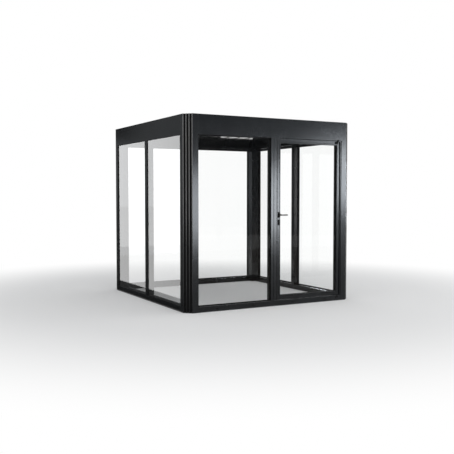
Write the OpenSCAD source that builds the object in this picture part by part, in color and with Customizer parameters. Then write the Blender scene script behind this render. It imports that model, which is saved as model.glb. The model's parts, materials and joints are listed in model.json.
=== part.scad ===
// Flat-roofed glass greenhouse: four stepped corner posts, roof beams with gutters,
// sills and mullions that hold fixed panes, a hinged glass door and a tilting louvre roof.
// Millimetres, +Z up. The origin is on the ground, at the middle of the posts' outline.
// The front, with the door, faces -Y.

/* [Building] */
// Overall width across the corner posts
width = 2380; // [1800:10:3000]
// Overall depth across the corner posts
depth = 2410; // [1800:10:3000]
// Overall height from the ground to the top of the roof beams
height = 2300; // [2100:10:2700]

/* [Corner posts] */
// Side of the square corner posts
post_size = 160; // [130:1:180]
// Number of steps cut into each outer corner
corner_steps = 3; // [2:1:4]
// Size of one corner step
corner_step = 26; // [16:1:26]
// Bevel along the outer edges of the steps
step_bevel = 6; // [2:1:8]

/* [Sills and mullions] */
// Height of the sills
sill_height = 70; // [50:1:120]
// Depth of the sills, from outside to inside
sill_depth = 90; // [70:1:120]
// Bevel along the outer top edge of the sills
sill_bevel = 3; // [1:1:4]
// Width of the mullions
mullion_width = 76; // [60:1:110]
// Depth of the mullions, from outside to inside
mullion_depth = 90; // [70:1:120]
// Width of the shadow groove down the middle of each mullion
shadow_groove_width = 6; // [2:1:8]
// Depth of that shadow groove
shadow_groove_depth = 5; // [1:1:6]
// How far sills and mullions stand behind the faces of the posts
frame_recess = 3; // [1:1:4]

/* [Roof beams] */
// Height of the roof beams
beam_height = 236; // [220:1:300]
// Thickness of the roof beams
beam_thickness = 70; // [60:1:85]
// Height of the gutters' bottom above the bottom of the beams
gutter_lift = 16; // [10:1:20]
// Height of the gutter's inner wall
gutter_height = 32; // [24:1:36]
// Thickness of the gutter sheet
gutter_wall = 5; // [3:1:8]
// Gap between the ends of a gutter and the posts
gutter_end_gap = 2; // [1:1:10]

/* [Glazing] */
// Thickness of the panes
glass_thickness = 8; // [6:1:12]
// Distance from the posts' faces to the outer face of the fixed panes
glass_setback = 12; // [11:1:20]
// How deep a pane's edge goes into its frame
glass_bite = 10; // [6:1:12]
// Thickness of the gasket round a pane's edge
gasket_thickness = 4; // [2:1:5]
// How far the gasket shows beyond the frame
gasket_lip = 3; // [1:1:8]

/* [Door] */
// Width of the door leaf's frame members
leaf_frame_width = 52; // [44:1:80]
// Thickness of the door leaf
leaf_thickness = 52; // [44:1:60]
// Distance from the posts' faces to the leaf's outer face
leaf_recess = 18; // [14:1:26]
// Distance from the leaf's outer face to its pane
leaf_glass_setback = 22; // [16:1:26]
// Gap between the leaf and the sill, the beam and the hinge post
leaf_gap = 6; // [5:0.5:9]
// Gap between the leaf and the mullion, on the latch side
latch_gap = 15; // [10:0.5:18]
// Width by which the door stop covers the leaf on the hinge side and above
stop_overlap = 10; // [6:1:16]
// Width by which the door stop covers the leaf on the latch side
stop_latch_overlap = 4; // [2:1:5]
// Gap between the door stop and the leaf's outer face
stop_gap = 5.5; // [5:0.5:7]

/* [Handle and lock] */
// Height of the handle's spindle above the ground
handle_height = 1122; // [950:1:1200]
// Reach of the lever from the leaf's face to its outer side
handle_reach = 54; // [45:1:56]
// Length of the lever from the spindle to its tip
lever_length = 108; // [90:1:140]
// Diameter of the lever
lever_diameter = 18; // [14:1:22]
// Radius of the bend between the lever's neck and its bar
lever_bend = 18; // [14:1:24]
// Diameter of the spindle inside the leaf
spindle_diameter = 10; // [8:1:12]
// Running clearance round the lever's neck and the spindle
handle_clearance = 0.5; // [0.3:0.1:1]
// Width of the oval roses
rose_width = 32; // [28:1:34]
// Height of the oval roses
rose_height = 70; // [55:1:80]
// Thickness of the roses
rose_thickness = 8; // [5:1:12]
// Distance from the spindle down to the lock cylinder
lock_distance = 92; // [84:1:105]
// Diameter of the lock cylinder's plug
lock_plug_diameter = 17; // [14:1:20]
// How far the plug stands out of its rose
lock_plug_reach = 4; // [2:1:8]
// Width of the key slot
key_slot_width = 2.5; // [1.5:0.5:4]
// Height of the key slot
key_slot_height = 9; // [6:1:12]

/* [Hinges] */
// Diameter of the hinge knuckles
knuckle_diameter = 20; // [16:1:24]
// Height of one hinge knuckle
knuckle_height = 45; // [35:1:60]
// Gap between the two knuckles of a hinge
knuckle_gap = 1; // [0.5:0.5:3]
// Gap between the knuckles and the leaf, and between the knuckles and the post
knuckle_clearance = 1; // [0.5:0.5:3]
// Diameter of the hinge pins
hinge_pin_diameter = 10; // [6:1:11]
// Running clearance round the hinge pins and louvre pins
pin_clearance = 0.05; // [0.02:0.01:0.1]
// Width of the hinge plates on the leaf
hinge_plate_width = 45; // [30:1:50]
// Thickness of the hinge plates
hinge_plate_thickness = 5; // [3:1:5]
// Distance from the top and bottom of the leaf to its outer hinges
hinge_inset = 190; // [120:1:300]

/* [Louvre roof] */
// Number of louvre blades
louver_count = 12; // [10:1:14]
// Gap between the louvres and the gutters at the two sides
louver_margin = 5; // [0:1:20]
// Thickness of a louvre blade at its middle
louver_thickness = 28; // [26:1:34]
// How far a blade's underside drops from its edges to its middle
louver_bow = 8; // [4:1:9]
// Clearance between neighbouring blades when the roof is closed
louver_gap = 6; // [5:0.5:7]
// Overlap of neighbouring blades when the roof is closed
louver_overlap = 10; // [4:1:16]
// Thickness of the blades' lips
louver_lip = 4; // [2:0.5:5]
// Tilt of the blades from the closed roof, as stored
louver_tilt = 0; // [0:1:90]
// Distance from the top of the roof beams down to the blades' pivots
louver_drop = 85; // [75:1:95]
// Diameter of the blades' pivot pins
louver_pin_diameter = 12; // [8:1:14]
// Gap between a blade's end and its pivot rail
louver_end_gap = 6; // [5:1:12]
// Thickness of the pivot rails
rail_thickness = 18; // [12:1:24]
// Height of the pivot rails
rail_height = 50; // [30:1:70]

/* [Hidden] */
$fn = 48;
// Overshoot of cutting shapes
cut = 1;
corner_cut = corner_steps * corner_step;
beam_base = height - beam_height;
clear_height = beam_base - sill_height;
clear_width = width - 2 * post_size;
clear_depth = depth - 2 * post_size;
pocket_depth = glass_bite + gasket_thickness;
pocket_width = glass_thickness + 2 * gasket_thickness;
pocket_start = glass_setback - gasket_thickness;
// Clear width of the two equal bays of a wall
front_bay = (clear_width - mullion_width) / 2;
side_bay = (clear_depth - mullion_width) / 2;
front_bay_centre = (mullion_width + front_bay) / 2;
side_bay_centre = (mullion_width + side_bay) / 2;
// Door leaf, along X and Z
leaf_left = mullion_width / 2 + latch_gap;
leaf_right = clear_width / 2 - leaf_gap;
leaf_bottom = sill_height + leaf_gap;
leaf_top = beam_base - leaf_gap;
leaf_inside = leaf_recess + leaf_thickness;
leaf_clear_width = leaf_right - leaf_left - 2 * leaf_frame_width;
leaf_clear_height = leaf_top - leaf_bottom - 2 * leaf_frame_width;
stop_thickness = leaf_recess - stop_gap - frame_recess;
handle_x = leaf_left + leaf_frame_width / 2;
lock_height = handle_height - lock_distance;
// Hinge axis, and the feet of the three hinges
hinge_x = clear_width / 2 - knuckle_diameter / 2 - knuckle_clearance;
hinge_y = leaf_inside + knuckle_diameter / 2 + knuckle_clearance;
hinge_length = 2 * knuckle_height + knuckle_gap;
hinge_first = leaf_bottom + hinge_inset;
hinge_last = leaf_top - hinge_inset - hinge_length;
hinge_feet = [hinge_first, (hinge_first + hinge_last) / 2, hinge_last];
// Louvre blades
louver_pitch = (clear_width - 2 * louver_margin) / louver_count;
louver_reach = (louver_pitch + louver_overlap) / 2;
louver_body = louver_reach - louver_overlap - louver_gap;
louver_hook = louver_thickness - louver_bow - 2 * louver_lip - louver_gap;
louver_start = beam_thickness + rail_thickness + louver_end_gap;
louver_length = depth - 2 * louver_start;
pivot_height = height - louver_drop;
pin_length = louver_end_gap + rail_thickness - cut;
paint = [0.16, 0.17, 0.18];
steel = [0.55, 0.56, 0.58];
rubber = [0.05, 0.05, 0.05];
clear_glass = [0.75, 0.85, 0.85, 0.35];

// Each wall is drawn with X along it, Y from its outer face inwards and Z up
module on_front() translate([0, -depth / 2, 0]) children();
module on_rear() translate([0, depth / 2, 0]) rotate(180) children();
module on_left() translate([-width / 2, 0, 0]) rotate(-90) children();
module on_right() translate([width / 2, 0, 0]) rotate(90) children();

// Runs a profile, drawn as Y and Z, along X
module run_along(length) rotate([90, 0, 90]) linear_extrude(length, center = true) children();

// Gives an outline, drawn as X and Z, a thickness inwards from a distance behind the posts' faces
module thicken(start, thickness)
    translate([0, start + thickness, 0])
        rotate([90, 0, 0])
            linear_extrude(thickness) children();

// Section of a corner post, with its outer corner cut into bevelled steps
module post_section() {
    stair = [for (k = [0 : corner_steps - 1])
        each [[k * corner_step, corner_cut - k * corner_step + step_bevel],
              [k * corner_step + step_bevel, corner_cut - k * corner_step],
              [(k + 1) * corner_step, corner_cut - k * corner_step]]];
    last_step = [[corner_cut, step_bevel], [corner_cut + step_bevel, 0]];
    polygon(concat(stair, last_step, [[post_size, 0], [post_size, post_size], [0, post_size]]));
}

// Corner post with its outer corner at the origin, grooved for the panes that it holds
module corner_post(front_pane = true) {
    groove_base = sill_height - pocket_depth;
    groove_height = clear_height + 2 * pocket_depth;
    color(paint) difference() {
        linear_extrude(height) post_section();
        translate([pocket_start, post_size - pocket_depth, groove_base])
            cube([pocket_width, pocket_depth + cut, groove_height]);
        if (front_pane)
            translate([post_size - pocket_depth, pocket_start, groove_base])
                cube([pocket_depth + cut, pocket_width, groove_height]);
    }
}

module front_left_post() translate([-width / 2, -depth / 2, 0]) corner_post();
module front_right_post()
    translate([width / 2, -depth / 2, 0]) mirror([1, 0, 0]) corner_post(front_pane = false);
module rear_left_post() translate([-width / 2, depth / 2, 0]) mirror([0, 1, 0]) corner_post();
module rear_right_post() translate([width / 2, depth / 2, 0]) rotate(180) corner_post();

// Glazing groove along a sill or beam, cut from a height by the pocket's depth
module glazing_groove(from, to, base)
    translate([from, pocket_start, base])
        cube([to - from, pocket_width, pocket_depth + cut]);

// Sill between two posts, bevelled outside, with its glazing groove
module sill(length, groove_end) {
    face = frame_recess;
    back = frame_recess + sill_depth;
    color(paint) difference() {
        run_along(length)
            polygon([[face, 0], [back, 0], [back, sill_height],
                     [face + sill_bevel, sill_height], [face, sill_height - sill_bevel]]);
        glazing_groove(-length / 2 - cut, groove_end, sill_height - pocket_depth);
    }
}

// The groove of the front wall ends under the mullion, because only its left bay has a fixed pane
front_groove_end = pocket_depth - mullion_width / 2;
module front_sill() on_front() sill(clear_width, front_groove_end);
module rear_sill() on_rear() sill(clear_width, clear_width / 2 + cut);
module left_sill() on_left() sill(clear_depth, clear_depth / 2 + cut);
module right_sill() on_right() sill(clear_depth, clear_depth / 2 + cut);

// Roof beam between two posts, grooved below for the panes
module beam(length, groove_end)
    color(paint) difference() {
        run_along(length) translate([0, beam_base]) square([beam_thickness, beam_height]);
        glazing_groove(-length / 2 - cut, groove_end, beam_base - cut);
    }

module front_beam() on_front() beam(clear_width, front_groove_end);
module rear_beam() on_rear() beam(clear_width, clear_width / 2 + cut);
module left_beam() on_left() beam(clear_depth, clear_depth / 2 + cut);
module right_beam() on_right() beam(clear_depth, clear_depth / 2 + cut);

// Gutter sheet along the inside of a beam, flush with the posts
module gutter(length)
    run_along(length - 2 * gutter_end_gap)
        translate([beam_thickness, beam_base + gutter_lift])
            difference() {
                square([post_size - beam_thickness, gutter_height]);
                translate([-cut, gutter_wall])
                    square([post_size - beam_thickness - gutter_wall + cut, gutter_height]);
            }

module roof_gutters() color(paint) {
    on_front() gutter(clear_width);
    on_rear() gutter(clear_width);
    on_left() gutter(clear_depth);
    on_right() gutter(clear_depth);
}

// Mullion from sill to beam, with a shadow groove outside and a glazing groove for each pane
module mullion(right_pane = true) {
    half = mullion_width / 2;
    color(paint) translate([0, 0, sill_height]) linear_extrude(clear_height)
        difference() {
            translate([-half, frame_recess]) square([mullion_width, mullion_depth]);
            translate([-shadow_groove_width / 2, frame_recess - cut])
                square([shadow_groove_width, shadow_groove_depth + cut]);
            translate([-half - cut, pocket_start]) square([pocket_depth + cut, pocket_width]);
            if (right_pane)
                translate([half - pocket_depth, pocket_start]) square([pocket_depth + cut, pocket_width]);
        }
}

module front_mullion() on_front() mullion(right_pane = false);
module rear_mullion() on_rear() mullion();
module left_mullion() on_left() mullion();
module right_mullion() on_right() mullion();

// Pane for a clear opening, centred on the opening's middle
module pane(clear_w, clear_h)
    cube([clear_w + 2 * glass_bite, glass_thickness, clear_h + 2 * glass_bite], center = true);

// Gasket of U section round the edge of such a pane
module gasket(clear_w, clear_h)
    difference() {
        cube([clear_w + 2 * pocket_depth, pocket_width, clear_h + 2 * pocket_depth], center = true);
        cube([clear_w - 2 * gasket_lip, pocket_width + 2 * cut, clear_h - 2 * gasket_lip], center = true);
        pane(clear_w, clear_h);
    }

// Middle of a fixed bay's opening, in the plane of the glass
module in_bay(centre)
    translate([centre, glass_setback + glass_thickness / 2, sill_height + clear_height / 2]) children();

module two_panes(centre, bay)
    for (side = [-1, 1])
        in_bay(side * centre) pane(bay, clear_height);

module two_gaskets(centre, bay)
    for (side = [-1, 1])
        in_bay(side * centre) gasket(bay, clear_height);

module front_glass() color(clear_glass) on_front() in_bay(-front_bay_centre) pane(front_bay, clear_height);
module rear_glass() color(clear_glass) on_rear() two_panes(front_bay_centre, front_bay);
module left_glass() color(clear_glass) on_left() two_panes(side_bay_centre, side_bay);
module right_glass() color(clear_glass) on_right() two_panes(side_bay_centre, side_bay);
module wall_gaskets() color(rubber) {
    on_front() in_bay(-front_bay_centre) gasket(front_bay, clear_height);
    on_rear() two_gaskets(front_bay_centre, front_bay);
    on_left() two_gaskets(side_bay_centre, side_bay);
    on_right() two_gaskets(side_bay_centre, side_bay);
}

// Strip round the sides and top of the doorway, which covers the gap outside the leaf
module door_stop()
    color(paint) on_front() thicken(frame_recess, stop_thickness)
        difference() {
            translate([mullion_width / 2, sill_height]) square([front_bay, clear_height]);
            translate([leaf_left + stop_latch_overlap, sill_height - cut])
                square([leaf_right - leaf_left - stop_overlap - stop_latch_overlap,
                        leaf_top - stop_overlap - sill_height + cut]);
        }

// Middle of the leaf's pane
module in_leaf()
    on_front()
        translate([(leaf_left + leaf_right) / 2,
                   leaf_recess + leaf_glass_setback + glass_thickness / 2,
                   (leaf_bottom + leaf_top) / 2])
            children();

// Frame member of the leaf from its mitred outline, grooved for the pane
module leaf_member(outline)
    color(paint) difference() {
        on_front() thicken(leaf_recess, leaf_thickness) polygon(outline);
        in_leaf()
            cube([leaf_clear_width + 2 * pocket_depth, pocket_width, leaf_clear_height + 2 * pocket_depth],
                 center = true);
    }

// Outer and inner corners of the leaf's frame
leaf_inner_left = leaf_left + leaf_frame_width;
leaf_inner_right = leaf_right - leaf_frame_width;
leaf_inner_bottom = leaf_bottom + leaf_frame_width;
leaf_inner_top = leaf_top - leaf_frame_width;

// Bore through the latch stile for the spindle
module spindle_bore()
    at_spindle()
        translate([0, -cut, 0])
            rotate([-90, 0, 0])
                cylinder(d = spindle_diameter + 2 * handle_clearance, h = leaf_thickness + 2 * cut);

module door_left_stile()
    color(paint) difference() {
        leaf_member([[leaf_left, leaf_bottom], [leaf_inner_left, leaf_inner_bottom],
                     [leaf_inner_left, leaf_inner_top], [leaf_left, leaf_top]]);
        spindle_bore();
    }
module door_right_stile()
    leaf_member([[leaf_right, leaf_bottom], [leaf_right, leaf_top],
                 [leaf_inner_right, leaf_inner_top], [leaf_inner_right, leaf_inner_bottom]]);
module door_top_rail()
    leaf_member([[leaf_left, leaf_top], [leaf_inner_left, leaf_inner_top],
                 [leaf_inner_right, leaf_inner_top], [leaf_right, leaf_top]]);
module door_bottom_rail()
    leaf_member([[leaf_left, leaf_bottom], [leaf_right, leaf_bottom],
                 [leaf_inner_right, leaf_inner_bottom], [leaf_inner_left, leaf_inner_bottom]]);
module door_glass() color(clear_glass) in_leaf() pane(leaf_clear_width, leaf_clear_height);
module door_gasket() color(rubber) in_leaf() gasket(leaf_clear_width, leaf_clear_height);

// Spindle axis where it meets the leaf's outer face
module at_spindle() on_front() translate([handle_x, leaf_recess, handle_height]) children();

// Draws children on the outer face of the leaf and, mirrored, on its inner face
module on_both_faces() {
    children();
    translate([0, leaf_thickness, 0]) mirror([0, 1, 0]) children();
}

// Lever with a bent neck, pointing to +X from the leaf's face
module lever() {
    radius = lever_diameter / 2;
    bar_y = radius - handle_reach;
    bend_y = bar_y + lever_bend;
    translate([0, bend_y, 0])
        rotate([-90, 0, 0]) cylinder(r = radius, h = -bend_y - handle_clearance);
    translate([lever_bend, bend_y, 0])
        rotate(180) rotate_extrude(angle = 90) translate([lever_bend, 0]) circle(r = radius);
    translate([lever_bend, bar_y, 0])
        rotate([0, 90, 0]) cylinder(r = radius, h = lever_length - lever_bend - radius);
    translate([lever_length - radius, bar_y, 0]) sphere(r = radius);
}

module door_handle()
    color(steel) at_spindle() {
        on_both_faces() lever();
        translate([0, -2 * handle_clearance - cut, 0])
            rotate([-90, 0, 0])
                cylinder(d = spindle_diameter, h = leaf_thickness + 4 * handle_clearance + 2 * cut);
    }

// Oval rose plate standing on the leaf's outer face
module rose()
    thicken(-rose_thickness, rose_thickness) {
        straight = rose_height - rose_width;
        square([rose_width, straight], center = true);
        for (end = [-1, 1])
            translate([0, end * straight / 2]) circle(d = rose_width);
    }

module handle_roses()
    color(steel) at_spindle() on_both_faces()
        difference() {
            rose();
            rotate([90, 0, 0])
                translate([0, 0, -cut])
                    cylinder(d = lever_diameter + 2 * handle_clearance, h = rose_thickness + 2 * cut);
        }

// Roses over the lock, each with the plug of the lock cylinder and its key slot
module lock_roses()
    color(steel) at_spindle() translate([0, 0, -lock_distance]) on_both_faces()
        difference() {
            union() {
                rose();
                rotate([90, 0, 0])
                    cylinder(d = lock_plug_diameter, h = rose_thickness + lock_plug_reach);
            }
            translate([-key_slot_width / 2, -rose_thickness - lock_plug_reach - cut, -key_slot_height / 2])
                cube([key_slot_width, lock_plug_reach + cut, key_slot_height]);
        }

// Lower half of each hinge, with its pin, on the hinge post
module hinge_post_halves()
    color(steel) on_front() for (foot = hinge_feet)
        translate([hinge_x, hinge_y, foot]) {
            cylinder(d = knuckle_diameter, h = knuckle_height);
            cylinder(d = hinge_pin_diameter, h = hinge_length);
            translate([0, -hinge_plate_thickness, 0])
                cube([clear_width / 2 - hinge_x, 2 * hinge_plate_thickness, knuckle_height]);
        }

// Upper half of each hinge, on the leaf's inner face
module hinge_door_halves()
    color(steel) on_front() for (foot = hinge_feet)
        translate([hinge_x, 0, foot + knuckle_height + knuckle_gap])
            difference() {
                union() {
                    translate([0, hinge_y, 0]) cylinder(d = knuckle_diameter, h = knuckle_height);
                    translate([-hinge_plate_width, leaf_inside, 0])
                        cube([hinge_plate_width, hinge_plate_thickness, knuckle_height]);
                }
                translate([0, hinge_y, -cut])
                    cylinder(d = hinge_pin_diameter + 2 * pin_clearance, h = knuckle_height + 2 * cut);
            }

// Place of a louvre blade's pivot along X
function louver_x(i) = (i - (louver_count + 1) / 2) * louver_pitch;

// Pivot rail on the inside of a beam, bored for the blades' pins
module louver_rail()
    difference() {
        translate([-clear_width / 2, beam_thickness, pivot_height - rail_height / 2])
            cube([clear_width, rail_thickness, rail_height]);
        for (i = [1 : louver_count])
            translate([louver_x(i), beam_thickness - cut, pivot_height])
                rotate([-90, 0, 0])
                    cylinder(d = louver_pin_diameter + 2 * pin_clearance, h = rail_thickness + 2 * cut);
    }

module louver_rails() color(paint) {
    on_front() louver_rail();
    on_rear() louver_rail();
}

// Section of a blade about its pivot: an upper lip to the right, a lower lip with a hook to the left,
// and an underside in two slopes that meet below the pivot
module louver_section() {
    half = louver_thickness / 2;
    edge = louver_bow - half;
    hook_top = edge + louver_lip + louver_hook;
    polygon([[-louver_reach, edge], [0, -half], [louver_body, edge], [louver_body, half - louver_lip],
             [louver_reach, half - louver_lip], [louver_reach, half], [-louver_body, half],
             [-louver_body, edge + louver_lip], [louver_lip - louver_reach, edge + louver_lip],
             [louver_lip - louver_reach, hook_top], [-louver_reach, hook_top]]);
}

// Blade along Y with a pivot pin at each end, tilted so that its right edge is up
module louver(i)
    color(paint) translate([louver_x(i), 0, pivot_height]) rotate([90, -louver_tilt, 0]) {
        linear_extrude(louver_length, center = true) louver_section();
        cylinder(d = louver_pin_diameter, h = louver_length + 2 * pin_length, center = true);
    }

front_left_post();
front_right_post();
rear_left_post();
rear_right_post();
front_sill();
rear_sill();
left_sill();
right_sill();
front_beam();
rear_beam();
left_beam();
right_beam();
roof_gutters();
front_mullion();
rear_mullion();
left_mullion();
right_mullion();
front_glass();
rear_glass();
left_glass();
right_glass();
wall_gaskets();
door_stop();
door_left_stile();
door_right_stile();
door_top_rail();
door_bottom_rail();
door_glass();
door_gasket();
door_handle();
handle_roses();
lock_roses();
hinge_post_halves();
hinge_door_halves();
louver_rails();
for (i = [1 : louver_count])
    louver(i);
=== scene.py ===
import json
import math

import bmesh
import bpy
from mathutils import Matrix, Vector


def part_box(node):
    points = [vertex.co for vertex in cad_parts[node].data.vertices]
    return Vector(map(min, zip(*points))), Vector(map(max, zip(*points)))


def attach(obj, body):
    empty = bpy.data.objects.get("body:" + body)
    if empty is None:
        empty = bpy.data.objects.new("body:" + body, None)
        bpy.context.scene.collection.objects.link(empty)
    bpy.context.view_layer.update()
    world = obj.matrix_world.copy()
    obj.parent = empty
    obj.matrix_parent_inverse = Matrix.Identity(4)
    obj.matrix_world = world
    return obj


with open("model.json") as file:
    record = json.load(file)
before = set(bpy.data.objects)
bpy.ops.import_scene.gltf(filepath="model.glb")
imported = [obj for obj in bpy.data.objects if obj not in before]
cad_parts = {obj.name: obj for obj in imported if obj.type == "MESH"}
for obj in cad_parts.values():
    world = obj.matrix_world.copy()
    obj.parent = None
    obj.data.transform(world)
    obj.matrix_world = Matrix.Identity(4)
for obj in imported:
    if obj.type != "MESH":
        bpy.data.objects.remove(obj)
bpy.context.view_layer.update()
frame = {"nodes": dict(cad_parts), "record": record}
nodes = frame["nodes"]
slot_of = {part["node"]: part["material_slot"] for part in frame["record"]["subparts"]}

# Camera at the photograph's viewing angle, in metres, degrees and pixels
CAMERA_PLACE = (-4.609, -8.397, 1.3746)
CAMERA_YAW = 28.798
CAMERA_PITCH = -2.678
FOCAL_PIXELS = 696.52
IMAGE_PIXELS = 454
SENSOR_MM = 36.0
CLIP_END = 200.0


def add_camera():
    data = bpy.data.cameras.new("camera")
    data.sensor_fit = "HORIZONTAL"
    data.sensor_width = SENSOR_MM
    data.lens = SENSOR_MM * FOCAL_PIXELS / IMAGE_PIXELS
    data.clip_end = CLIP_END
    camera = bpy.data.objects.new("camera", data)
    camera.location = CAMERA_PLACE
    camera.rotation_euler = (math.radians(90 + CAMERA_PITCH), 0, math.radians(-CAMERA_YAW))
    bpy.context.scene.collection.objects.link(camera)
    bpy.context.scene.camera = camera


# Building blocks of the materials
def grey(value, warm=0.0):
    """A grey, which a share makes warmer or cooler."""
    return (value * (1 + warm), value, value * (1 - warm), 1.0)


def new_material(name):
    """A material with an empty node tree and its output node."""
    mat = bpy.data.materials.new(name)
    mat.use_nodes = True
    tree = mat.node_tree
    tree.nodes.clear()
    out = tree.nodes.new("ShaderNodeOutputMaterial")
    return mat, tree, out


def add(tree, kind, **inputs):
    """A node with some of its inputs set. Keys use _ for spaces."""
    node = tree.nodes.new(kind)
    for key, value in inputs.items():
        node.inputs[key.replace("_", " ")].default_value = value
    return node


def place_on(tree):
    """The place on the object, which patterns use."""
    return tree.nodes.new("ShaderNodeTexCoord").outputs["Object"]


def noise(tree, place, scale, detail=4.0, rough=0.55):
    """A noise pattern from 0 to 1."""
    node = add(tree, "ShaderNodeTexNoise", Scale=scale, Detail=detail, Roughness=rough)
    tree.links.new(place, node.inputs["Vector"])
    return node.outputs["Fac"]


def ramp(tree, source, stops):
    """A colour ramp over a source, with (position, colour) stops."""
    node = tree.nodes.new("ShaderNodeValToRGB")
    band = node.color_ramp
    band.elements[0].position, band.elements[0].color = stops[0]
    band.elements[1].position, band.elements[1].color = stops[-1]
    for position, colour in stops[1:-1]:
        band.elements.new(position).color = colour
    tree.links.new(source, node.inputs["Fac"])
    return node.outputs["Color"]


def span(tree, source, low, high):
    """Maps a 0 to 1 source to a range."""
    node = add(tree, "ShaderNodeMapRange", To_Min=low, To_Max=high)
    tree.links.new(source, node.inputs["Value"])
    return node.outputs["Result"]


def reckon(tree, operation, one, two):
    """A calculation with two values, each a number or the output of a node."""
    node = tree.nodes.new("ShaderNodeMath")
    node.operation = operation
    for socket, value in zip(node.inputs, (one, two)):
        if isinstance(value, float):
            socket.default_value = value
        else:
            tree.links.new(value, socket)
    return node.outputs["Value"]


def relief(tree, shader, height, strength, distance):
    """Gives a shader a fine relief."""
    bump = add(tree, "ShaderNodeBump", Strength=strength, Distance=distance)
    tree.links.new(height, bump.inputs["Height"])
    tree.links.new(bump.outputs["Normal"], shader.inputs["Normal"])
    return bump


def mixed(tree, out, share, one, two):
    """Sends a mix of two shaders to the tree's output."""
    mix = tree.nodes.new("ShaderNodeMixShader")
    tree.links.new(share, mix.inputs["Fac"])
    tree.links.new(one, mix.inputs[1])
    tree.links.new(two, mix.inputs[2])
    tree.links.new(mix.outputs["Shader"], out.inputs["Surface"])


# Powder coat's edges: rounding that it shows, in metres, where it is worn, and its colour there
EDGE_RADIUS = 0.0016
EDGE_SAMPLES = 6
EDGE_WEAR = [(0.8, grey(0.7)), (0.98, grey(0.0))]
EDGE_COLOUR = grey(0.03)
# How far the roughness of coat and steel varies
COAT_SPREAD = 0.04
STEEL_SPREAD = 0.06

# Colours of the glass where it has a film and where it is clean
GLASS_FILM = (0.994, 0.998, 0.996, 1.0)
GLASS_CLEAN = (0.999, 1.0, 0.9995, 1.0)
# Share of light that a sheet mirrors, from head on (0) to edge on (1)
GLASS_CURVE = [
    (0.0, grey(0.014)),
    (0.22, grey(0.018)),
    (0.36, grey(0.035)),
    (0.45, grey(0.05)),
    (0.5, grey(0.11)),
    (0.55, grey(0.3)),
    (0.64, grey(0.41)),
    (0.8, grey(0.66)),
    (1.0, grey(1.0)),
]


def coated_metal(name, dark, light, rough, gloss=0.36):
    """Satin powder coat: slight mottling, fine orange peel, uneven gloss, softly worn edges."""
    mat, tree, out = new_material(name)
    link = tree.links.new
    place = place_on(tree)
    shader = add(tree, "ShaderNodeBsdfPrincipled", Specular_IOR_Level=gloss)
    broad = noise(tree, place, scale=2.2, detail=5.0)
    colour = ramp(tree, broad, [(0.3, dark), (0.7, light)])
    soft = add(tree, "ShaderNodeBevel", Radius=EDGE_RADIUS)
    soft.samples = EDGE_SAMPLES
    flat = tree.nodes.new("ShaderNodeNewGeometry")
    bend = tree.nodes.new("ShaderNodeVectorMath")
    bend.operation = "DOT_PRODUCT"
    link(soft.outputs["Normal"], bend.inputs[0])
    link(flat.outputs["Normal"], bend.inputs[1])
    edge = tree.nodes.new("ShaderNodeMix")
    edge.data_type = "RGBA"
    edge.inputs["B"].default_value = EDGE_COLOUR
    link(ramp(tree, bend.outputs["Value"], EDGE_WEAR), edge.inputs["Factor"])
    link(colour, edge.inputs["A"])
    link(edge.outputs["Result"], shader.inputs["Base Color"])
    wiped = noise(tree, place, scale=9.0, detail=6.0, rough=0.65)
    link(span(tree, wiped, rough - COAT_SPREAD, rough + COAT_SPREAD), shader.inputs["Roughness"])
    fine = noise(tree, place, scale=700.0, detail=2.0)
    peel = relief(tree, shader, fine, strength=0.04, distance=0.0006)
    link(soft.outputs["Normal"], peel.inputs["Normal"])
    link(shader.outputs["BSDF"], out.inputs["Surface"])
    return mat


def window_glass(name):
    """Clear glass that mirrors more at a flat angle; its front faces mirror for the whole sheet."""
    mat, tree, out = new_material(name)
    link = tree.links.new
    place = place_on(tree)
    clear = tree.nodes.new("ShaderNodeBsdfTransparent")
    film = noise(tree, place, scale=1.7, detail=5.0)
    link(ramp(tree, film, [(0.3, GLASS_FILM), (0.7, GLASS_CLEAN)]), clear.inputs["Color"])
    mirror = add(tree, "ShaderNodeBsdfGlossy", Color=grey(1.0))
    smear = noise(tree, place, scale=6.0, detail=6.0, rough=0.6)
    link(span(tree, smear, 0.0, 0.03), mirror.inputs["Roughness"])
    weight = add(tree, "ShaderNodeLayerWeight", Blend=0.5)
    curve = ramp(tree, weight.outputs["Facing"], GLASS_CURVE)
    side = tree.nodes.new("ShaderNodeNewGeometry")
    front = reckon(tree, "SUBTRACT", 1.0, side.outputs["Backfacing"])
    share = reckon(tree, "MULTIPLY", curve, front)
    mixed(tree, out, share, clear.outputs["BSDF"], mirror.outputs["BSDF"])
    return mat


def seal_rubber(name):
    """Black seal rubber, finely grained, with uneven sheen."""
    mat, tree, out = new_material(name)
    link = tree.links.new
    place = place_on(tree)
    shader = add(tree, "ShaderNodeBsdfPrincipled", Specular_IOR_Level=0.16)
    speck = noise(tree, place, scale=60.0)
    colour = ramp(tree, speck, [(0.3, grey(0.006)), (0.75, grey(0.014))])
    link(colour, shader.inputs["Base Color"])
    link(span(tree, speck, 0.48, 0.62), shader.inputs["Roughness"])
    grain = noise(tree, place, scale=1100.0, detail=2.0)
    relief(tree, shader, grain, strength=0.1, distance=0.0004)
    link(shader.outputs["BSDF"], out.inputs["Surface"])
    return mat


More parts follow.
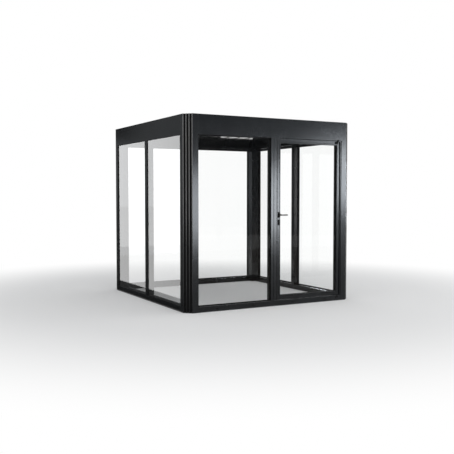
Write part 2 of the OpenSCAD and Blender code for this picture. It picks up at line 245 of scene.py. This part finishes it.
def brushed_steel(name, dark, light, rough):
    """Metal brushed round and along, with fine lines in colour, gloss and relief."""
    mat, tree, out = new_material(name)
    link = tree.links.new
    shader = add(tree, "ShaderNodeBsdfPrincipled", Metallic=1.0)
    stretch = add(tree, "ShaderNodeMapping", Scale=(40.0, 40.0, 900.0))
    link(place_on(tree), stretch.inputs["Vector"])
    lines = noise(tree, stretch.outputs["Vector"], scale=1.0, detail=3.0)
    colour = ramp(tree, lines, [(0.3, dark), (0.7, light)])
    link(colour, shader.inputs["Base Color"])
    link(span(tree, lines, rough - STEEL_SPREAD, rough + STEEL_SPREAD), shader.inputs["Roughness"])
    relief(tree, shader, lines, strength=0.06, distance=0.0003)
    link(shader.outputs["BSDF"], out.inputs["Surface"])
    return mat


materials = {
    "frame_paint": coated_metal("frame_paint", grey(0.0088, -0.09), grey(0.0118, -0.09), rough=0.19),
    "louver_paint": coated_metal("louver_paint", grey(0.012, -0.02), grey(0.016, -0.02), rough=0.13),
    "pane_glass": window_glass("pane_glass"),
    "seal_rubber": seal_rubber("seal_rubber"),
    "handle_metal": brushed_steel("handle_metal", grey(0.09), grey(0.13), rough=0.2),
    "hinge_metal": brushed_steel("hinge_metal", grey(0.12), grey(0.18), rough=0.3),
}
for node, slot in slot_of.items():
    mesh = nodes[node].data
    mesh.materials.clear()
    mesh.materials.append(materials[slot])

# Sizes of the solids, in metres; a face or back counts inwards from the wall's outer plane
HALF_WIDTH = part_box("right_beam")[1][0]
HALF_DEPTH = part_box("rear_beam")[1][1]
CLEAR_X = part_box("front_beam")[1][0]
CLEAR_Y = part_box("left_beam")[1][1]
SILL_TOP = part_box("front_sill")[1][2]
BEAM_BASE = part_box("front_beam")[0][2]
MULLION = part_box("front_mullion")[1][0]
SILL_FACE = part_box("front_sill")[0][1] + HALF_DEPTH
LEAF_LEFT, LEAF_FACE, LEAF_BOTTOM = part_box("door_left_stile")[0]
LEAF_RIGHT, LEAF_BACK, LEAF_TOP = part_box("door_right_stile")[1]
LEAF_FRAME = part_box("door_left_stile")[1][0] - LEAF_LEFT
LEAF_FACE += HALF_DEPTH
LEAF_BACK += HALF_DEPTH
GLASS_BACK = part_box("front_glass")[1][1] + HALF_DEPTH
CORNER_STEPS, CORNER_STEP, STEP_BEVEL = 3, 0.026, 0.006

# Each wall's clear half and whole half, and the bays with a fixed pane
CLEAR = {"front": CLEAR_X, "rear": CLEAR_X, "left": CLEAR_Y, "right": CLEAR_Y}
REACH = {"front": HALF_WIDTH, "rear": HALF_WIDTH, "left": HALF_DEPTH, "right": HALF_DEPTH}
SIDES = (-1, 1)
FIXED_BAYS = [("front", -1)] + [(wall, side) for wall in ("rear", "left", "right") for side in SIDES]
BLADES = [name for name, slot in slot_of.items() if slot == "louver_paint"]


# Building blocks of the small pieces
def on_wall(wall):
    """Maps a place on a wall, as (along, inwards, up), to the row frame."""
    return {
        "front": lambda a, b, c: Vector((a, b - HALF_DEPTH, c)),
        "rear": lambda a, b, c: Vector((-a, HALF_DEPTH - b, c)),
        "left": lambda a, b, c: Vector((b - HALF_WIDTH, -a, c)),
        "right": lambda a, b, c: Vector((HALF_WIDTH - b, a, c)),
    }[wall]


def plain(x, y, z):
    """A place that is in the row frame already."""
    return Vector((x, y, z))


def piece(name, mesh, body, slot):
    """Turns a finished bmesh into an object that rides on a body."""
    bmesh.ops.recalc_face_normals(mesh, faces=mesh.faces)
    data = bpy.data.meshes.new(name)
    mesh.to_mesh(data)
    mesh.free()
    data.materials.append(materials[slot])
    obj = bpy.data.objects.new(name, data)
    bpy.context.scene.collection.objects.link(obj)
    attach(obj, body)
    return obj


def bar(mesh, place, low, high, bevel, segments=2):
    """Adds a bar between two corners, with rounded edges."""
    verts = bmesh.ops.create_cube(mesh, size=1.0)["verts"]
    for vert in verts:
        vert.co = place(*[a + (b - a) * (c + 0.5) for a, b, c in zip(low, high, vert.co)])
    mesh.normal_update()
    edges = list({edge for vert in verts for edge in vert.link_edges})
    bmesh.ops.bevel(mesh, geom=edges, offset=bevel, segments=segments, profile=0.5, affect="EDGES")


def loft(mesh, outlines, hollow=False):
    """Joins outlines of equally many points, with flat ends unless it is a hollow ring."""
    loops = [[mesh.verts.new(point) for point in outline] for outline in outlines]
    count = len(loops[0])
    if hollow:
        loops.append(loops[0])
    else:
        mesh.faces.new(loops[0])
        mesh.faces.new(loops[-1])
    for one, two in zip(loops, loops[1:]):
        for k in range(count):
            after = (k + 1) % count
            mesh.faces.new((one[k], one[after], two[after], two[k]))


def ring(mesh, place, rect, section):
    """Adds a mitred frame round a rectangle.

    A section point is (distance inside the rectangle's edge, distance inwards).
    """
    x0, z0, x1, z1 = rect
    outlines = []
    for inset, deep in section:
        left, low, right, high = x0 + inset, z0 + inset, x1 - inset, z1 - inset
        corners = [(left, low), (right, low), (right, high), (left, high)]
        outlines.append([place(x, deep, z) for x, z in corners])
    loft(mesh, outlines, hollow=True)


def round_angles(count, start=0.0):
    """Even angles of a full turn, from a share of a step on."""
    return [2 * math.pi * (k + start) / count for k in range(count)]


def turned(mesh, profile, origin, axis, hollow=False, count=20):
    """Adds a turned solid from (radius, height) points; a hollow one has a ring as its section."""
    turn = Vector((0, 0, 1)).rotation_difference(Vector(axis)).to_matrix()
    loops = []
    for radius, height in profile:
        angles = round_angles(count)
        points = [Vector((radius * math.cos(a), radius * math.sin(a), height)) for a in angles]
        loops.append([Vector(origin) + turn @ point for point in points])
    loft(mesh, loops, hollow)


def strip_section(face, out, outer, inner, slope, proud, sunk):
    """Section of a low strip on a face, with sloping sides, for a ring outside its rectangle."""
    foot, head = face - out * sunk, face + out * proud
    return [(-outer, foot), (slope - outer, head), (-inner - slope, head), (-inner, foot)]


# Small pieces that the solids leave out, with sizes in metres
def glazing_beads():
    """Beads that hold the fixed panes from inside, behind their seals."""
    mesh = bmesh.new()
    seal, width, depth, chamfer = 0.0042, 0.012, 0.014, 0.003
    face = GLASS_BACK + seal
    back = face + depth
    section = [(0.0, face), (0.0, back), (width - chamfer, back), (width, back - chamfer), (width, face)]
    for wall, side in FIXED_BAYS:
        near, far = sorted((side * MULLION, side * CLEAR[wall]))
        ring(mesh, on_wall(wall), (near, SILL_TOP, far, BEAM_BASE), section)
    piece("glazing_beads", mesh, "house", "seal_rubber")


def door_trim():
    """Beads round the door's pane and the dark line beside them."""
    front = on_wall("front")
    rect = (LEAF_LEFT + LEAF_FRAME, LEAF_BOTTOM + LEAF_FRAME,
            LEAF_RIGHT - LEAF_FRAME, LEAF_TOP - LEAF_FRAME)
    bead = {"outer": 0.013, "inner": 0.0, "slope": 0.0008, "proud": 0.0016, "sunk": 0.0006}
    line = {"outer": 0.0175, "inner": 0.0135, "slope": 0.0003, "proud": 0.0004, "sunk": 0.0005}
    beads = bmesh.new()
    lines = bmesh.new()
    for face, out in ((LEAF_FACE, -1), (LEAF_BACK, 1)):
        ring(beads, front, rect, strip_section(face, out, **bead))
        ring(lines, front, rect, strip_section(face, out, **line))
    piece("door_beads", beads, "door", "frame_paint")
    piece("door_lines", lines, "door", "seal_rubber")


def corner_dark_dashes():
    """Dark slanted dashes on the frame, at the corners of the doorway's hinge side."""
    front = on_wall("front")
    mesh = bmesh.new()
    count = 20
    # The doorway's edge, both ends as (from the leaf's edge, from the doorway's edge), and the radius
    clips = [
        (BEAM_BASE, (-0.064, -0.027), (-0.0515, 0.0), 0.0145),
        (SILL_TOP, (-0.071, -0.027), (-0.036, -0.01), 0.007),
    ]
    # Depth and inset of the outlines, from the sill's face to the rounded front
    layers = [(SILL_FACE + 0.001, 0.0), (0.0, 0.0), (-0.0012, 0.0008), (-0.0016, 0.0025)]
    for edge, start, end, radius in clips:
        tilt = math.atan2(end[1] - start[1], end[0] - start[0])
        outlines = []
        for deep, inset in layers:
            outline = []
            for angle in round_angles(count, 0.5):
                x, z = start if math.cos(angle) < 0 else end
                across = (radius - inset) * math.cos(tilt + angle)
                up = (radius - inset) * math.sin(tilt + angle)
                outline.append(front(LEAF_RIGHT + x + across, deep, edge + z + up))
            outlines.append(outline)
        loft(mesh, outlines)
    piece("corner_dark_dashes", mesh, "house", "seal_rubber")


def door_sweep():
    """Brush seal under the leaf, in a slim holder."""
    front = on_wall("front")
    mesh = bmesh.new()
    setback, gap, rounding = 0.006, 0.0014, 0.0006
    near, far = LEAF_LEFT + setback, LEAF_RIGHT - setback
    holder_front = LEAF_FACE + 0.004
    holder_back = holder_front + 0.012
    holder_base, holder_top = LEAF_BOTTOM - 0.0018, LEAF_BOTTOM + 0.001
    shorter, slimmer = 0.002, 0.003
    bar(mesh, front, (near, holder_front, holder_base), (far, holder_back, holder_top), rounding)
    bar(mesh, front, (near + shorter, holder_front + slimmer, SILL_TOP + gap),
        (far - shorter, holder_back - slimmer, LEAF_BOTTOM), rounding)
    piece("door_sweep", mesh, "door", "seal_rubber")


def doorway_seal_and_shade_lines():
    """Dark seal on the strip round the doorway, which also paints the shadow lines beside the leaf and
    under the beam.
    """
    front = on_wall("front")
    mesh = bmesh.new()
    rounding = 0.0006
    face, back = SILL_FACE - 0.0008, SILL_FACE + 0.003
    lock_near, lock_far = MULLION + 0.006, MULLION + 0.014
    hinge_near = CLEAR_X - 0.01
    lap, thinner_front, thinner_back = 0.0005, 0.0001, 0.0002
    top_low, top_high = BEAM_BASE - 0.006, BEAM_BASE - 0.0001
    bar(mesh, front, (lock_near, face, SILL_TOP), (lock_far, back, BEAM_BASE), rounding)
    bar(mesh, front, (hinge_near, face, SILL_TOP), (CLEAR_X, back, BEAM_BASE), rounding)
    # The top strip is a painted shadow line under the beam
    bar(mesh, front, (lock_far - lap, face + thinner_front, top_low),
        (hinge_near + lap, back - thinner_back, top_high), rounding)
    piece("doorway_seal_and_shade_lines", mesh, "house", "seal_rubber")


def hinge_fittings():
    """Screws on the hinge plates and caps on the knuckles."""
    low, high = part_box("hinge_door_halves")
    knuckle_radius, plate = 0.01, 0.005
    door_half, post_half = 0.045, 0.046
    axis_x = high[0] - knuckle_radius
    axis_y = high[1] - knuckle_radius
    first = low[2]
    last = high[2] - door_half
    # Radius and height of the points of a screw's head and of a cap with its hollow
    head = [(0.0046, -0.001), (0.0046, 0.0003), (0.0036, 0.001), (0.0016, 0.001), (0.0012, 0.0004)]
    dome = [(0.0056, 0.0012), (0.0056, -0.0005), (0.0102, -0.0005), (0.0102, 0.001),
            (0.0085, 0.0028), (0.004, 0.0038)]
    screws = bmesh.new()
    lower = bmesh.new()
    for bottom in (first, (first + last) / 2, last):
        for along in (-0.016, -0.036):
            for up in (0.011, 0.034):
                turned(screws, head, (axis_x + along, low[1] + plate, bottom + up), (0, 1, 0), count=16)
        turned(screws, dome, (axis_x, axis_y, bottom + door_half), (0, 0, 1))
        turned(lower, dome, (axis_x, axis_y, bottom - post_half), (0, 0, -1))
    piece("hinge_screws", screws, "door", "hinge_metal")
    piece("hinge_caps", lower, "house", "hinge_metal")


def screwed_plate(low, high, face, out, screw):
    """A plate in the doorway's reveal, with a screw near each end."""
    front = on_wall("front")
    mesh = bmesh.new()
    rounding, margin = 0.0008, 0.015
    middle = (low[1] + high[1]) / 2
    bar(mesh, front, low, high, rounding)
    for up in (low[2] + margin, high[2] - margin):
        turned(mesh, screw, front(face, middle, up), (out, 0, 0), count=16)
    return mesh


def lock_plates():
    """Lock plate in the leaf's edge and the strike plate on the mullion."""
    middle = (LEAF_FACE + LEAF_BACK) / 2
    plate = screwed_plate((LEAF_LEFT - 0.001, middle - 0.011, 0.93),
                          (LEAF_LEFT + 0.003, middle + 0.011, 1.2),
                          LEAF_LEFT, -1, [(0.0045, 0.0), (0.0045, 0.0012), (0.0035, 0.0018)])
    piece("lock_plate", plate, "door", "hinge_metal")
    strike = screwed_plate((MULLION - 0.003, middle - 0.012, 0.96),
                           (MULLION + 0.0012, middle + 0.012, 1.17),
                           MULLION, 1, [(0.0045, 0.0), (0.0045, 0.0014), (0.0035, 0.002)])
    piece("strike_plate", strike, "house", "hinge_metal")


def weep_caps():
    """Drain covers along the outer faces of the sills, each with a small hood."""
    mesh = bmesh.new()
    # Half width, front and back from the sill's face, low and high edge, rounding
    parts = [
        (0.018, -0.0016, 0.002, 0.028, 0.037, 0.0012),
        (0.014, -0.0024, 0.0, 0.0355, 0.0385, 0.0009),
    ]
    for wall, clear in CLEAR.items():
        bay = clear - MULLION
        for side in SIDES:
            for share in (0.25, 0.75):
                at = side * (MULLION + share * bay)
                for half, near, far, low, high, rounding in parts:
                    bar(mesh, on_wall(wall), (at - half, SILL_FACE + near, low),
                        (at + half, SILL_FACE + far, high), rounding)
    piece("weep_caps", mesh, "house", "seal_rubber")


def louver_fittings():
    """Ribs along the blades' tops, and bushings round their pins."""
    bushings = bmesh.new()
    pin, half_rib, rounding, to_rail = 0.023, 0.003, 0.0008, 0.006
    bushing = [(0.0066, 0.0), (0.0066, 0.0025), (0.0095, 0.0025), (0.011, 0.001), (0.011, 0.0)]
    for name in BLADES:
        low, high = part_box(name)
        centre = [(a + b) / 2 for a, b in zip(low, high)]
        reach = (high[0] - low[0]) / 2
        end = high[1] - pin
        base, top = high[2] - 0.001, high[2] + 0.0012
        ribs = bmesh.new()
        for share in (-0.55, 0.0, 0.55):
            at = centre[0] + share * reach
            bar(ribs, plain, (at - half_rib, -end, base), (at + half_rib, end, top), rounding)
        piece(name + "_ribs", ribs, name + "_blade", "louver_paint")
        for side in SIDES:
            foot = (centre[0], side * (end + to_rail), centre[2])
            turned(bushings, bushing, foot, (0, -side, 0), hollow=True)
    piece("pivot_bushings", bushings, "house", "seal_rubber")


def gutter_aprons():
    """Folded sheets on the side gutters, which close the slit beside the outer blades."""
    mesh = bmesh.new()
    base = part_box("roof_gutters")[1][2]
    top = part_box("louver_rails")[0][2] + 0.034
    inner = HALF_WIDTH - CLEAR_X - 0.0065
    end = CLEAR_Y - 0.022
    sheet, lip, flange, drop = 0.003, 0.016, 0.03, 0.008
    section = [
        (inner - lip, top),
        (inner, top),
        (inner, base + sheet),
        (inner + flange, base + sheet),
        (inner + flange, base),
        (inner, base),
        (inner, base - drop),
        (inner - sheet, base - drop),
        (inner - sheet, top - sheet),
        (inner - lip, top - sheet),
    ]
    for wall in ("left", "right"):
        place = on_wall(wall)
        loft(mesh, [[place(along, b, c) for b, c in section] for along in (-end, end)])
    piece("gutter_aprons", mesh, "house", "frame_paint")


def corner_shade_inlays():
    """Painted shade: dark rubber inlays on the faces of the posts' steps, where the stepped corners fall
    in shade.
    """
    mesh = bmesh.new()
    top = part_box("front_left_post")[1][2]
    proud, sunk, margin, rounding = 0.0006, 0.001, 0.003, 0.0003
    outer_gap, inner_gap = 0.0005, 0.0007
    for wall, reach in REACH.items():
        for side in SIDES:
            for k in range(CORNER_STEPS):
                outer = side * (reach - k * CORNER_STEP - STEP_BEVEL - outer_gap)
                inner = side * (reach - (k + 1) * CORNER_STEP + inner_gap)
                deep = (CORNER_STEPS - k) * CORNER_STEP
                near, far = sorted((outer, inner))
                bar(mesh, on_wall(wall), (near, deep - proud, margin), (far, deep + sunk, top - margin),
                    rounding, segments=1)
    piece("corner_shade_inlays", mesh, "house", "seal_rubber")


def rose_covers():
    """Domed dark covers over the oval roses of handle and lock, on both faces of the leaf."""
    mesh = bmesh.new()
    count = 28
    handle_low, handle_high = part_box("handle_roses")
    # Size and lift of the outlines from the foot to the dome, then the lift of the hole's edges
    dome = [(1.02, -0.0082), (1.02, -0.003), (0.93, 0.0), (0.8, 0.0014)]
    hole_edges = (0.0022, -0.0082)
    for node, wider, hole in (("handle_roses", 1.34, 0.0105), ("lock_roses", 1.08, 0.0087)):
        low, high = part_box(node)
        middle_x, middle_z = (low[0] + high[0]) / 2, (low[2] + high[2]) / 2
        round_x, round_z = (high[0] - low[0]) / 2, (high[2] - low[2]) / 2
        for face, out in ((handle_low[1], -1), (handle_high[1], 1)):
            outlines = []
            for share, lift in dome:
                loop = []
                for angle in round_angles(count):
                    straight = max(round_z - round_x, 0.0) * (1 if math.sin(angle) > 0 else -1)
                    x = middle_x + round_x * wider * share * math.cos(angle)
                    z = middle_z + (round_x * math.sin(angle) + straight) * share
                    loop.append((x, face + out * lift, z))
                outlines.append(loop)
            for lift in hole_edges:
                y = face + out * lift
                outlines.append([(middle_x + hole * math.cos(a), y, middle_z + hole * math.sin(a))
                                 for a in round_angles(count)])
            loft(mesh, outlines, hollow=True)
    covers = piece("rose_covers", mesh, "door", "frame_paint")
    rose_paint = coated_metal("rose_paint", grey(0.004), grey(0.006), rough=0.19, gloss=0.12)
    covers.data.materials[0] = rose_paint


def gutter_strainers():
    """Leaf strainers over the gutters' outlets: a foot ring, a cap and eight ribs."""
    mesh = bmesh.new()
    floor_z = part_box("roof_gutters")[0][2] + 0.005
    from_clear, inwards, rib_count, lean = 0.06, 0.108, 8, 0.4
    foot_ring = [(0.021, 0.0), (0.025, 0.0), (0.025, 0.003), (0.021, 0.004)]
    cap = [(0.0005, 0.0185), (0.008, 0.0185), (0.0075, 0.0205), (0.0005, 0.021)]
    path = [(0.023, 0.002), (0.0215, 0.010), (0.016, 0.0165), (0.0065, 0.0195)]
    section = [(-0.0012, 0.0), (0.0012, 0.0), (0.0012, 0.0014), (-0.0012, 0.0014)]
    for wall in ("front", "rear"):
        for side in SIDES:
            foot = on_wall(wall)(side * (CLEAR_X - from_clear), inwards, floor_z)
            turned(mesh, foot_ring, foot, (0, 0, 1), hollow=True)
            turned(mesh, cap, foot, (0, 0, 1))
            for angle in round_angles(rib_count):
                turn = Matrix.Rotation(angle, 3, "Z")
                loft(mesh, [[foot + turn @ Vector((radius + out, across, height + out * lean))
                             for across, out in section] for radius, height in path])
    piece("gutter_strainers", mesh, "house", "hinge_metal")


glazing_beads()
door_trim()
corner_dark_dashes()
door_sweep()
doorway_seal_and_shade_lines()
hinge_fittings()
lock_plates()
weep_caps()
louver_fittings()
gutter_strainers()
gutter_aprons()
# Painted shade in the posts' stepped corners
corner_shade_inlays()
rose_covers()

# Groups of objects that have lamps of their own
FRONT_NODES = [
    "front_left_post", "front_right_post", "front_sill", "front_beam", "front_mullion", "door_stop",
    "door_left_stile", "door_right_stile", "door_top_rail", "door_bottom_rail",
]
front_faces = [nodes[name] for name in FRONT_NODES] + [bpy.data.objects["door_beads"]]
panes = [nodes[name] for name, slot in slot_of.items() if slot == "pane_glass"]
posts = [nodes[name] for name in slot_of if name.endswith("_post")]
blades = [nodes[name] for name in BLADES]
roof_frames = [nodes[name] for name in ("rear_beam", "roof_gutters", "louver_rails")]
# Frame with a face in the left wall, which the lamps of the rear wall leave out
LEFT_FACE = "rear_left_post"
painted = [name for name, slot in slot_of.items() if slot == "frame_paint" and name != LEFT_FACE]

# Soft lamps that the front frames mirror: name, x, low and high edge, width, radiance, roll
STRIPS = [
    ("strip_near", 1.42, 0.47, 1.79, 1.8, 11.5, 3.0),
    ("strip_middle", 3.26, 0.54, 1.91, 1.8, 16.0, 4.0),
    ("strip_far", 5.15, 1.12, 2.5, 1.9, 16.0, 8.0),
]
STRIP_COLOUR = (0.88, 0.935, 1.0)
STRIP_PLANE = -6.2
# Soft lamps for the frames of the walls that the photograph doesn't show: name, wall, place, target
OTHER_STRIPS = [
    ("strip_right", "right_", (6.2, 4.9, 1.4), (0.0, 4.9, 1.4)),
    ("strip_rear_right", "rear_", (5.0, 6.2, 1.4), (5.0, 0.0, 1.4)),
    ("strip_rear_left", "rear_", (-5.0, 6.2, 1.4), (-5.0, 0.0, 1.4)),
]
# Soft lamps that the panes of the left wall mirror: name, low and high edge, radiance
SIDE_BOXES = [("side_box", 0.2, 3.26, 1.16), ("side_low", 0.004, 0.2, 0.92)]
SIDE_X, SIDE_PLANE, SIDE_WIDTH = -4.0, 6.4, 3.8
HANDLE_PLACE = (0.08, -1.2, 1.1)

# The floor: its radius and corners, how far out it turns white, its share of white near the house
FLOOR_RADIUS, FLOOR_CORNERS = 60.0, 64
WHITE_FROM, WHITE_AT, WHITE_NEAR = 2.6, 5.5, 0.12
FLOOR_COLOUR = grey(0.86)
# Soft light from all round
AMBIENT_COLOUR = (0.97, 0.985, 1.0, 1.0)
AMBIENT = 0.5


def lit_only(lamp, objects):
    """Lets a lamp light these objects alone."""
    group = bpy.data.collections.new(lamp.name + "_group")
    for obj in objects:
        group.objects.link(obj)
    lamp.light_linking.receiver_collection = group


def aim(obj, target):
    direction = Vector(target) - obj.location
    obj.rotation_euler = direction.to_track_quat("-Z", "Y").to_euler()


def area_lamp(name, place, target, width, height, radiance, objects=None, roll=0.0, colour=(1, 1, 1)):
    """A rectangular soft lamp of a given radiance, where 1 is white.

    It lights some objects alone, or everything. Without a target it faces up.
    """
    data = bpy.data.lights.new(name, "AREA")
    data.shape = "RECTANGLE"
    data.size, data.size_y = width, height
    data.energy = radiance * math.pi * width * height
    data.color = colour
    lamp = bpy.data.objects.new(name, data)
    lamp.location = place
    if target:
        aim(lamp, target)
        lamp.rotation_euler.rotate_axis("Z", math.radians(roll))
    else:
        lamp.rotation_euler = (math.pi, 0.0, 0.0)
    lamp.visible_camera = False
    bpy.context.scene.collection.objects.link(lamp)
    if objects:
        lit_only(lamp, objects)


def flag(name, place, target, width, height, colour):
    """A dark card that only reflections see. Without a target it lies flat."""
    mesh = bpy.data.meshes.new(name)
    w, h = width / 2, height / 2
    mesh.from_pydata([(-w, -h, 0), (w, -h, 0), (w, h, 0), (-w, h, 0)], [], [(0, 1, 2, 3)])
    card = bpy.data.objects.new(name, mesh)
    card.location = place
    if target:
        aim(card, target)
    for kind in ("camera", "diffuse", "transmission", "volume_scatter", "shadow"):
        setattr(card, "visible_" + kind, False)
    mat, tree, out = new_material(name)
    glow = add(tree, "ShaderNodeEmission", Color=colour, Strength=1.0)
    tree.links.new(glow.outputs["Emission"], out.inputs["Surface"])
    mesh.materials.append(mat)
    bpy.context.scene.collection.objects.link(card)


def shown(tree):
    """1 where something is looked at, mirrored or looked through, 0 where it only gives light."""
    path = tree.nodes.new("ShaderNodeLightPath")
    seen = reckon(tree, "MAXIMUM", path.outputs["Is Camera Ray"], path.outputs["Is Glossy Ray"])
    return reckon(tree, "MAXIMUM", seen, path.outputs["Is Transmission Ray"])


def add_floor():
    """A pale floor that keeps the shadow and runs out to white."""
    mesh = bpy.data.meshes.new("floor")
    angles = round_angles(FLOOR_CORNERS)
    rim = [(FLOOR_RADIUS * math.cos(a), FLOOR_RADIUS * math.sin(a), 0.0) for a in angles]
    mesh.from_pydata(rim, [], [tuple(range(FLOOR_CORNERS))])
    floor = bpy.data.objects.new("floor", mesh)
    bpy.context.scene.collection.objects.link(floor)
    mat, tree, out = new_material("floor")
    length = tree.nodes.new("ShaderNodeVectorMath")
    length.operation = "LENGTH"
    tree.links.new(place_on(tree), length.inputs[0])
    far = add(tree, "ShaderNodeMapRange", From_Min=WHITE_FROM, From_Max=WHITE_AT,
              To_Min=WHITE_NEAR, To_Max=1.0)
    far.interpolation_type = "SMOOTHSTEP"
    tree.links.new(length.outputs["Value"], far.inputs["Value"])
    share = reckon(tree, "MULTIPLY", far.outputs["Result"], shown(tree))
    matte = add(tree, "ShaderNodeBsdfDiffuse", Color=FLOOR_COLOUR)
    white = add(tree, "ShaderNodeEmission", Color=grey(1.0), Strength=1.0)
    mixed(tree, out, share, matte.outputs["BSDF"], white.outputs["Emission"])
    mesh.materials.append(mat)


def add_world():
    """White behind all that is seen, mirrored or looked through; plain soft light otherwise."""
    world = bpy.data.worlds.new("world")
    world.use_nodes = True
    tree = world.node_tree
    tree.nodes.clear()
    out = tree.nodes.new("ShaderNodeOutputWorld")
    soft = add(tree, "ShaderNodeBackground", Color=AMBIENT_COLOUR, Strength=AMBIENT)
    white = add(tree, "ShaderNodeBackground", Color=grey(1.0), Strength=1.0)
    mixed(tree, out, shown(tree), soft.outputs["Background"], white.outputs["Background"])
    bpy.context.scene.world = world


add_camera()
add_world()
add_floor()

area_lamp("overhead", (0.5, -1.0, 7.0), (0, 0, 0), width=7.0, height=7.0, radiance=1.6)
for name, x, low, high, width, radiance, roll in STRIPS:
    z = (low + high) / 2
    area_lamp(name, (x, STRIP_PLANE, z), (x, 0.0, z), width, high - low, radiance,
              objects=front_faces, roll=roll, colour=STRIP_COLOUR)
area_lamp("edge_box", (-6.5, -3.9, 2.4), (-1.2, -1.15, 1.6), width=1.3, height=3.6, radiance=6.5,
          objects=posts)
for name, low, high, radiance in SIDE_BOXES:
    z = (low + high) / 2
    area_lamp(name, (SIDE_X, SIDE_PLANE, z), (SIDE_X, 0.0, z), SIDE_WIDTH, high - low, radiance,
              objects=panes)
area_lamp("roof_lamp", (0.735, 1.03, 2.05), (0.735, 0.0, 2.05), width=0.57, height=0.13, radiance=1.7,
          objects=blades)
area_lamp("inner_strip", (5.4, STRIP_PLANE, 1.4), (5.4, 0.0, 1.4), width=1.6, height=2.1, radiance=2.2,
          objects=[nodes["right_mullion"]])
area_lamp("inner_fill", (0.0, -5.0, 0.8), (0.0, 1.1, 2.1), width=3.0, height=2.0, radiance=6.0,
          objects=roof_frames)
for name, wall, place, target in OTHER_STRIPS:
    area_lamp(name, place, target, width=3.6, height=1.4, radiance=9.0,
              objects=[nodes[node] for node in painted if wall in node], colour=STRIP_COLOUR)
area_lamp("lever_lamp", (2.2, -3.6, 2.6), HANDLE_PLACE, width=0.9, height=0.9, radiance=16.0,
          objects=[nodes["door_handle"]])
area_lamp("rose_lamp", (2.9, -6.0, 2.4), HANDLE_PLACE, width=0.5, height=0.5, radiance=60.0,
          objects=[bpy.data.objects["rose_covers"]])
area_lamp("side_floor", (-3.3, 2.4, 0.006), None, width=3.4, height=7.8, radiance=0.85, objects=panes)

# Cards for the surroundings that the panes and frames mirror; those at the left stand by the side boxes
flag("flag_left", (SIDE_X, 6.42, 4.0), (SIDE_X, 0.0, 4.0), width=14.0, height=8.0,
     colour=grey(0.29, -0.04))
flag("flag_right", (4.2, -8.2, 3.9), (0.0, -1.15, 3.9), width=14.0, height=7.0,
     colour=grey(0.14, -0.06))
flag("floor_front", (3.0, -5.1, 0.004), None, width=11.0, height=7.7, colour=grey(0.2, 0.12))
flag("floor_left", (-1.4, 0.6, 0.004), None, width=0.38, height=4.2, colour=grey(0.04))
flag("floor_far_left", (-3.3, 2.4, 0.004), None, width=3.4, height=7.8, colour=grey(0.1))
flag("flag_left_low", (SIDE_X, 6.415, 0.55), (SIDE_X, 0.0, 0.55), width=14.0, height=1.1,
     colour=grey(0.15, -0.04))
flag("flag_left_far", (-2.75, 6.39, 3.07), (-2.75, 0.0, 3.07), width=1.6, height=1.0,
     colour=grey(0.03, -0.04))

view = bpy.context.scene.view_settings
view.view_transform = "Standard"
